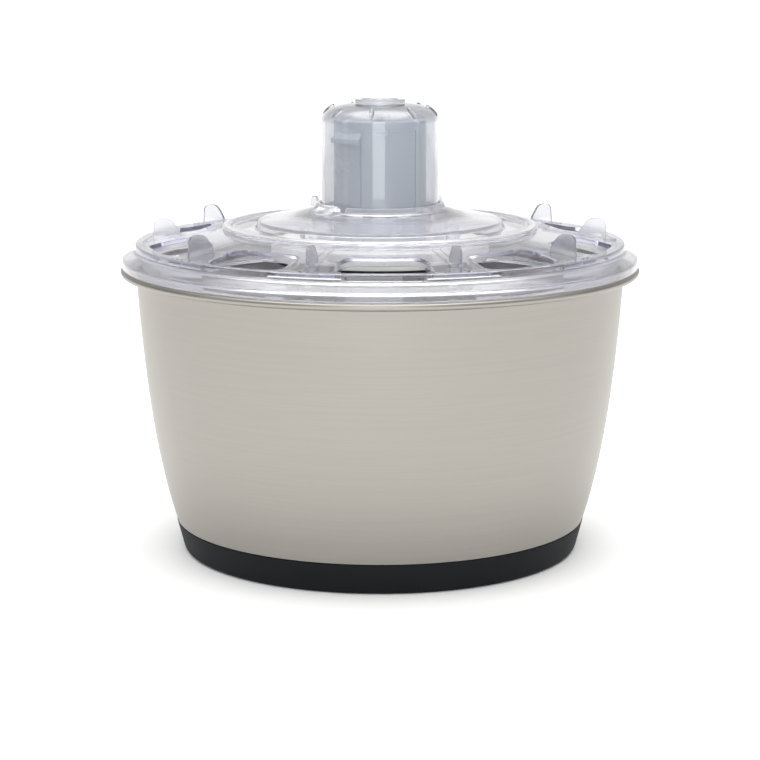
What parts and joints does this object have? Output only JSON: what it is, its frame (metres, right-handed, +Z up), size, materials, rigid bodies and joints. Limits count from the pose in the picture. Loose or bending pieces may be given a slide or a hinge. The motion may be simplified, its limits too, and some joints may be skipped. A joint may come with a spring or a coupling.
{
  "type": "salad spinner",
  "caption": "Press-top salad spinner: steel bowl in a silicone foot, perforated basket on a pivot, clear ring lid with a pump knob.",
  "frame": {"origin": "centre of the silicone foot's underside, on the surface that the bowl stands on", "axes": "+Z up along the bowl's axis, -Y towards the front"},
  "size_m": [0.26, 0.26, 0.2267],
  "materials": {
    "brushed_bowl_steel": "brushed around, satin",
    "bright_steel": "bright",
    "black_silicone": "matte",
    "clear_plastic": "moulded clear, polished",
    "blue_plastic": "moulded translucent, blue grey",
    "black_plastic": "fine moulded texture",
    "white_plastic": "moulded acetal"
  },
  "bodies": {
    "bowl_base": {"bowl": "brushed_bowl_steel", "base_grip": "black_silicone", "pivot_boss": "white_plastic", "pivot_pin": "bright_steel"},
    "basket_bearing": {"basket_bush": "white_plastic"},
    "basket_drum": {"basket": "bright_steel", "basket_hub": "black_plastic", "hub_cap": "black_plastic"},
    "lid": {"lid_ring": "clear_plastic", "lid_gasket": "black_silicone", "dish_cover": "clear_plastic", "mechanism_housing": "black_plastic", "housing_collar": "white_plastic", "thrust_washer": "white_plastic", "housing_screw_1": "bright_steel", "housing_screw_2": "bright_steel", "housing_screw_3": "bright_steel", "housing_screw_4": "bright_steel"},
    "lock": {"lock_slider": "clear_plastic"},
    "pump": {"pump_dome": "clear_plastic", "dome_cap": "clear_plastic", "knob_screw": "bright_steel", "pump_sleeve": "blue_plastic", "drive_nut": "white_plastic", "return_spring": "bright_steel"},
    "screw": {"drive_screw": "white_plastic", "spring_seat": "white_plastic"},
    "clutch": {"clutch_ring": "white_plastic"},
    "drive": {"drive_plate": "clear_plastic", "clutch_crown": "white_plastic", "spindle": "bright_steel", "spindle_washer": "bright_steel", "drive_band": "black_silicone"}
  },
  "joints": [
    {"name": "lid_lift", "type": "slide", "parent": "bowl_base", "child": "lid", "axis": [0, 0, 1], "range_m": [0, 0.3]},
    {"name": "basket_lift", "type": "slide", "parent": "bowl_base", "child": "basket_bearing", "axis": [0, 0, 1], "range_m": [0, 0.15]},
    {"name": "basket_spin", "type": "hinge", "parent": "basket_bearing", "child": "basket_drum", "pos_m": [0, 0, 0.012], "axis": [0, 0, 1], "continuous": true},
    {"name": "drive_spin", "type": "hinge", "parent": "lid", "child": "drive", "pos_m": [0, 0, 0.106], "axis": [0, 0, 1], "continuous": true},
    {"name": "pump_press", "type": "slide", "parent": "lid", "child": "pump", "axis": [0, 0, 1], "range_m": [-0.036, 0], "stiffness_N_per_m": 60, "springref_m": 0.03, "deforming": ["return_spring"]},
    {"name": "screw_spin", "type": "hinge", "parent": "lid", "child": "screw", "pos_m": [0, 0, 0.125], "axis": [0, 0, 1], "range_deg": [0, 432.5]},
    {"name": "clutch_drop", "type": "slide", "parent": "screw", "child": "clutch", "axis": [0, 0, 1], "range_m": [-0.0015, 0], "stiffness_N_per_m": 60, "springref_m": 0.002},
    {"name": "lock_slide", "type": "slide", "parent": "lid", "child": "lock", "axis": [0.7033, 0.6791, 0.2103], "range_m": [0, 0.003]}
  ],
  "couplings": [
    {"joint": "basket_lift", "follows": "lid_lift", "ratio": 0.5},
    {"joint": "drive_spin", "follows": "basket_spin", "ratio": 1},
    {"joint": "screw_spin", "follows": "pump_press", "rad_per_m": -209.44}
  ]
}
